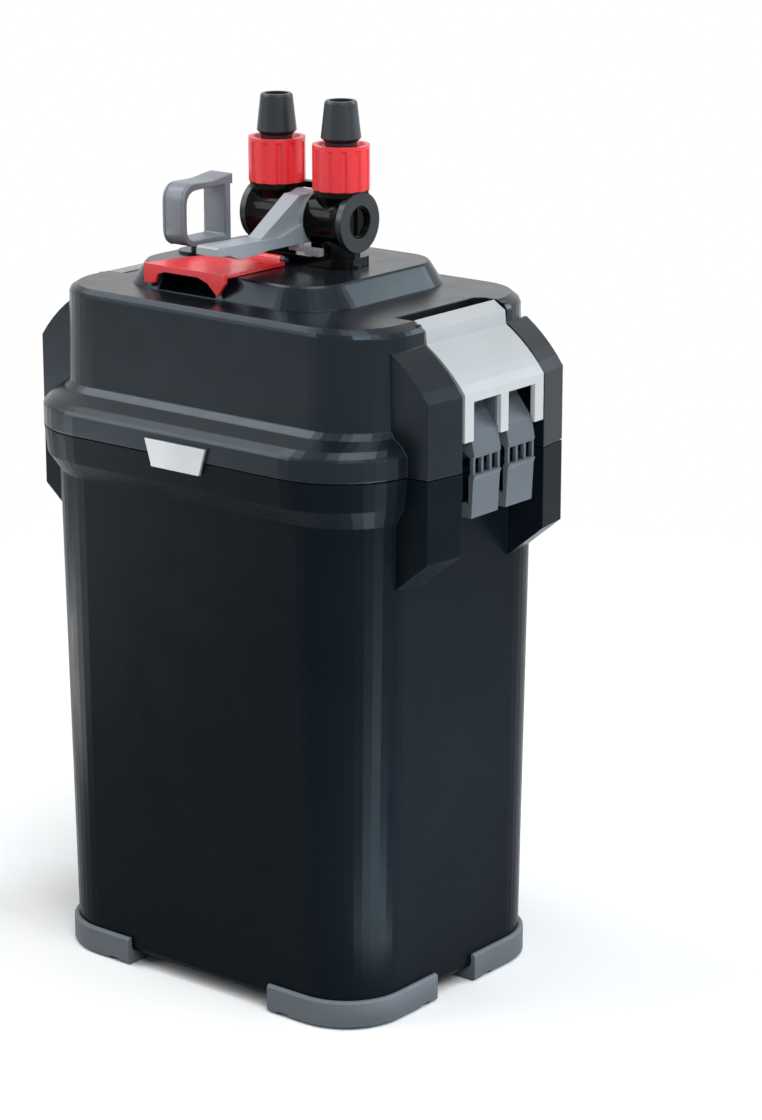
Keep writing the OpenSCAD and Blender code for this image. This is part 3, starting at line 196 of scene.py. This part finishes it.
LOOKS = {
    "vessel_plastic": dict(colour="0a1117", rough=0.28, grain=0.02, worn=0.05, specular=0.05, edge=0.8, tint=COOL),
    "lid_plastic": dict(colour="0d1217", rough=0.23, grain=0.04, worn=0.04, specular=0.28, edge=0.8, tint=COOL),
    "inner_plastic": dict(colour="2c3237", rough=0.42, grain=0.1),
    "panel_plastic": dict(colour="a7aaac", rough=0.34, grain=0.06, worn=0.03, specular=0.3, edge=0.6),
    "grey_plastic": dict(colour="50575e", rough=0.42, grain=0.1, worn=0.05, specular=0.2, edge=0.5),
    "pale_plastic": dict(colour="8f969d", rough=0.34, grain=0.1, worn=0.05, edge=0.5),
    "handle_plastic": dict(colour="737a81", rough=0.36, grain=0.1, worn=0.05, specular=0.4, edge=0.5),
    "foot_rubber": dict(colour="6a7177", rough=0.62, grain=0.2, worn=0.07, specular=0.2),
    "red_plastic": dict(colour="e42e35", rough=0.28, grain=0.03, worn=0.06),
    "black_plastic": dict(colour="050607", rough=0.12, grain=0.02, specular=0.09),
    "barb_plastic": dict(colour="252b2f", rough=0.3, grain=0.06, specular=0.3),
    "badge_metal": dict(colour="a9acae", rough=0.36, grain=0.05, metallic=0.8),
    "basket_plastic": dict(colour="2a2e32", rough=0.45),
    "foam": dict(colour="2c302c", rough=0.9, grain=0.9, grain_scale=500),
    "fine_floss": dict(colour="e4e4dd", rough=0.9, grain=0.9, grain_scale=700),
    "seal_rubber": dict(colour="141617", rough=0.6, grain=0.2),
    "steel": dict(colour="b9bec2", rough=0.3, metallic=1.0),
    "iron": dict(colour="77797b", rough=0.5, metallic=1.0),
    "copper": dict(colour="a35a2a", rough=0.4, metallic=0.8),
    "ceramic": dict(colour="e9e6dd", rough=0.2),
    "magnet": dict(colour="3f4347", rough=0.5),
    "white_plastic": dict(colour="dadcdd", rough=0.35),
}
MATERIALS = {name: moulded(name, **look) for name, look in LOOKS.items()}

SMOOTH_ANGLE = math.radians(32)


def smoothing():
    """A node group that shades faces smooth and keeps edges above SMOOTH_ANGLE sharp."""
    group = bpy.data.node_groups.new("smoothing", "GeometryNodeTree")
    group.interface.new_socket("Geometry", in_out="INPUT", socket_type="NodeSocketGeometry")
    group.interface.new_socket("Geometry", in_out="OUTPUT", socket_type="NodeSocketGeometry")
    start = group.nodes.new("NodeGroupInput")
    end = group.nodes.new("NodeGroupOutput")
    angle = group.nodes.new("GeometryNodeInputMeshEdgeAngle")
    below = group.nodes.new("FunctionNodeCompare")
    below.data_type = "FLOAT"
    below.operation = "LESS_THAN"
    below.inputs["B"].default_value = SMOOTH_ANGLE
    faces = group.nodes.new("GeometryNodeSetShadeSmooth")
    faces.domain = "FACE"
    edges = group.nodes.new("GeometryNodeSetShadeSmooth")
    edges.domain = "EDGE"
    group.links.new(start.outputs["Geometry"], faces.inputs["Geometry"])
    group.links.new(faces.outputs["Geometry"], edges.inputs["Geometry"])
    group.links.new(angle.outputs["Unsigned Angle"], below.inputs["A"])
    group.links.new(below.outputs["Result"], edges.inputs["Shade Smooth"])
    group.links.new(edges.outputs["Geometry"], end.inputs["Geometry"])
    return group


SMOOTHING = smoothing()

# The lever is paler than the other pieces of its slot, and the primer handle lies between the two.
slot_of = {row["node"]: row["material_slot"] for row in frame["record"]["subparts"]}
finish_of = {"primer_handle": "handle_plastic", "valve_lever": "pale_plastic"}
for name, obj in nodes.items():
    obj.data.materials.clear()
    obj.data.materials.append(MATERIALS[finish_of.get(name, slot_of[name])])
    obj.modifiers.new("smoothing", "NODES").node_group = SMOOTHING

# --- Primer handle: its band has a flared top, a rear lip and two fine ridges at the front ---

# Each corner in mm: Y, Z and the length over which it is eased.
BAND_OUTER = (
    (-21.6, 346.8, 9.0), (12.0, 346.8, 0.8), (12.0, 373.8, 0.3), (13.6, 373.8, 0.4), (13.6, 378.8, 0.7),
    (8.5, 378.2, 3.0), (-1.0, 376.7, 5.0), (-21.6, 377.3, 9.5),
)
BAND_INNER = ((-19.3, 349.6, 6.5), (-19.3, 373.7, 7.5), (7.8, 374.0, 1.0), (7.8, 349.6, 1.0))
BAND_X = -56.0
BAND_HALF = 6.9
BAND_BEVEL = 0.4
BAND_BEVEL_STEPS = 2
RIDGE_PROUD = 0.3
RIDGE_SUNK = 0.2
RIDGE_HALF = 0.35
RIDGE_PITCH = 5.4
RIDGE_REAR = -15.5
RIDGE_AIM = 4.0  # how far behind the line's start the point lies that the ridges rise away from
CORNER_STEPS = 8


def rounded_loop(corners):
    """Points of a closed line in Y and Z whose corners are eased over the given lengths."""
    points = []
    for k, (y, z, ease) in enumerate(corners):
        corner = Vector((y, z))
        before = corner + (Vector(corners[k - 1][:2]) - corner).normalized() * ease
        after = corner + (Vector(corners[(k + 1) % len(corners)][:2]) - corner).normalized() * ease
        for step in range(CORNER_STEPS + 1):
            t = step / CORNER_STEPS
            points.append(before.lerp(corner, t).lerp(corner.lerp(after, t), t))
    return points


def band_plate(name, loops, middle, half, bevel):
    """A flat shape in the plane of Y and Z, as thick as twice half and centred on x = middle."""
    curve = bpy.data.curves.new(name, "CURVE")
    curve.dimensions = "2D"
    curve.fill_mode = "BOTH"
    curve.extrude = (half - bevel) * MM
    curve.bevel_depth = bevel * MM
    curve.bevel_resolution = BAND_BEVEL_STEPS
    curve.offset = -bevel * MM
    for loop in loops:
        spline = curve.splines.new("POLY")
        spline.points.add(len(loop) - 1)
        for point, (y, z) in zip(spline.points, loop):
            point.co = (y * MM, z * MM, 0, 1)
        spline.use_cyclic_u = True
    source = add_object(name + "_line", curve)
    bpy.context.view_layer.update()
    mesh = bpy.data.meshes.new_from_object(source.evaluated_get(bpy.context.evaluated_depsgraph_get()))
    bpy.data.objects.remove(source)
    # The curve's own X and Y become Y and Z, and its depth becomes X.
    mesh.transform(Matrix(((0, 0, 1, middle * MM), (1, 0, 0, 0), (0, 1, 0, 0), (0, 0, 0, 1))))
    mesh.materials.clear()
    return add_object(name, mesh)


def finish_piece(obj, body, material):
    obj.data.materials.append(MATERIALS[material])
    obj.modifiers.new("smoothing", "NODES").node_group = SMOOTHING
    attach(obj, body)


outer_line = rounded_loop(BAND_OUTER)
band = band_plate("primer_band", [outer_line, rounded_loop(BAND_INNER)], BAND_X, BAND_HALF, BAND_BEVEL)
finish_piece(band, "primer", "handle_plastic")
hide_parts("primer_handle")


def ridge_strip(name, line, middle):
    """A thin raised strip on x = middle that follows the band's front line."""
    centre = Vector((line[0].x + RIDGE_AIM, (line[0].y + line[-1].y) / 2))
    section = (
        (-RIDGE_HALF, -RIDGE_SUNK), (-RIDGE_HALF / 2, RIDGE_PROUD),
        (RIDGE_HALF / 2, RIDGE_PROUD), (RIDGE_HALF, -RIDGE_SUNK),
    )
    mesh = bpy.data.meshes.new(name)
    form = bmesh.new()
    rows = []
    for p in line:
        away = (p - centre).normalized()
        row = []
        for x, lift in section:
            q = p + away * lift
            row.append(form.verts.new(((middle + x) * MM, q.x * MM, q.y * MM)))
        rows.append(row)
    for a, b in zip(rows, rows[1:]):
        for k in range(len(section)):
            after = (k + 1) % len(section)
            form.faces.new((a[k], a[after], b[after], b[k]))
    form.faces.new(rows[0])
    form.faces.new(list(reversed(rows[-1])))
    bmesh.ops.recalc_face_normals(form, faces=form.faces)
    form.to_mesh(mesh)
    form.free()
    return add_object(name, mesh)


upper = [p for p in outer_line[-CORNER_STEPS - 1:] if p.x < RIDGE_REAR]
lower = [p for p in outer_line[:CORNER_STEPS + 1] if p.x < RIDGE_REAR]
for side, label in ((-1, "left"), (1, "right")):
    ridge = ridge_strip("primer_ridge_" + label, upper + lower, BAND_X + side * RIDGE_PITCH)
    finish_piece(ridge, "primer", "handle_plastic")

# --- Floor, backdrop and lights ---

# From FLOOR_NEAR to FLOOR_FAR metres out, the floor turns from lit, with the shadow, into plain white.
FLOOR_NEAR = 0.25
FLOOR_FAR = 0.8
FLOOR_SEEN = 0.97
FLOOR_BOUNCE = 0.3
FLOOR_ROUGHNESS = 0.9
FLOOR_DROP = 0.0005


def seen_directly(tree):
    """1 for the rays of the camera, of gloss and of transmission, and 0 for the rest."""
    path = tree.nodes.new("ShaderNodeLightPath")
    total = path.outputs["Is Camera Ray"]
    for name in ("Is Glossy Ray", "Is Transmission Ray"):
        n = tree.nodes.new("ShaderNodeMath")
        n.operation = "MAXIMUM"
        tree.links.new(total, n.inputs[0])
        tree.links.new(path.outputs[name], n.inputs[1])
        total = n.outputs["Value"]
    return total


def floor_material():
    """White where it is looked at, with the object's shadow, and darker as a source of bounced light."""
    s = Shader("floor")
    direct = seen_directly(s.tree)
    s.link(s.blend(direct, (FLOOR_BOUNCE,) * 3, (FLOOR_SEEN,) * 3), s.bsdf.inputs["Base Color"])
    s.bsdf.inputs["Roughness"].default_value = FLOOR_ROUGHNESS
    s.bsdf.inputs["Specular IOR Level"].default_value = 0.0
    length = s.node("ShaderNodeVectorMath", operation="LENGTH")
    s.link(s.coords, length.inputs[0])
    far = s.spread(length.outputs["Value"], 0, 1, FLOOR_NEAR, FLOOR_FAR)
    factor = s.node("ShaderNodeMath", operation="MULTIPLY")
    s.link(far, factor.inputs[0])
    s.link(direct, factor.inputs[1])
    glow = s.node("ShaderNodeEmission")
    mix = s.node("ShaderNodeMixShader")
    s.link(factor.outputs["Value"], mix.inputs["Fac"])
    s.link(s.bsdf.outputs["BSDF"], mix.inputs[1])
    s.link(glow.outputs["Emission"], mix.inputs[2])
    s.link(mix.outputs["Shader"], s.out.inputs["Surface"])
    return s.mat


def floor_plate(size):
    mesh = bpy.data.meshes.new("floor")
    corners = [(-size, -size, 0), (size, -size, 0), (size, size, 0), (-size, size, 0)]
    mesh.from_pydata(corners, [], [(0, 1, 2, 3)])
    mesh.materials.append(floor_material())
    obj = add_object("floor", mesh)
    obj.location.z = -FLOOR_DROP
    return obj


floor_plate(15)

LAMP_LIFT = 0.004
LAMP_AIM = Vector((0, 0, 0.2))


def panel_lamp(name, size, radiance):
    """A soft rectangular lamp, whose power follows from its size and brightness."""
    data = bpy.data.lights.new(name, "AREA")
    data.shape = "RECTANGLE"
    data.size, data.size_y = size
    data.energy = radiance * math.pi * size[0] * size[1]
    obj = add_object(name, data)
    obj.visible_camera = False
    return obj


def softbox(name, place, size, radiance, colour=(1, 1, 1)):
    """A lamp that hangs at a place and faces the object."""
    obj = panel_lamp(name, size, radiance)
    obj.data.color = colour
    obj.location = place
    obj.rotation_euler = (LAMP_AIM - Vector(place)).to_track_quat("-Z", "Y").to_euler()


def floor_light(name, start, end, width, radiance):
    """A lamp that lies on the floor between two points and shines up."""
    run = Vector(end) - Vector(start)
    obj = panel_lamp(name, (run.length, width), radiance)
    obj.location = (*((Vector(start) + Vector(end)) / 2), LAMP_LIFT)
    obj.rotation_euler = (math.pi, 0, math.atan2(run.y, run.x))


COOL_LIGHT = (0.86, 0.94, 1.0)

softbox("top", (0.5, -0.08, 2.1), (1.0, 1.0), 5)
softbox("left_high", (-1.3, -0.5, 1.8), (1.1, 1.1), 5)
softbox("front_left", (-1.33, -1.58, 1.1), (1.0, 0.8), 5)
softbox("front_right", (1.35, -1.05, 1.45), (0.8, 0.7), 8, COOL_LIGHT)
softbox("right_back", (1.32, 1.76, 1.1), (1.2, 0.9), 9, COOL_LIGHT)
softbox("right", (1.75, -0.2, 1.2), (0.5, 1.1), 5)
floor_light("floor_right", (0.16, -0.062), (0.75, -0.10), 0.13, 12)
floor_light("floor_left", (-0.42, -0.06), (-0.87, -0.77), 0.35, 4.5)

WORLD_LIGHT = 0.2

world = bpy.data.worlds.new("world")
world.use_nodes = True
tree = world.node_tree
background = tree.nodes["Background"]
background.inputs["Color"].default_value = (1, 1, 1, 1)
level = tree.nodes.new("ShaderNodeMapRange")
level.inputs["To Min"].default_value = WORLD_LIGHT
level.inputs["To Max"].default_value = 1.0
tree.links.new(seen_directly(tree), level.inputs["Value"])
tree.links.new(level.outputs["Result"], background.inputs["Strength"])
bpy.context.scene.world = world
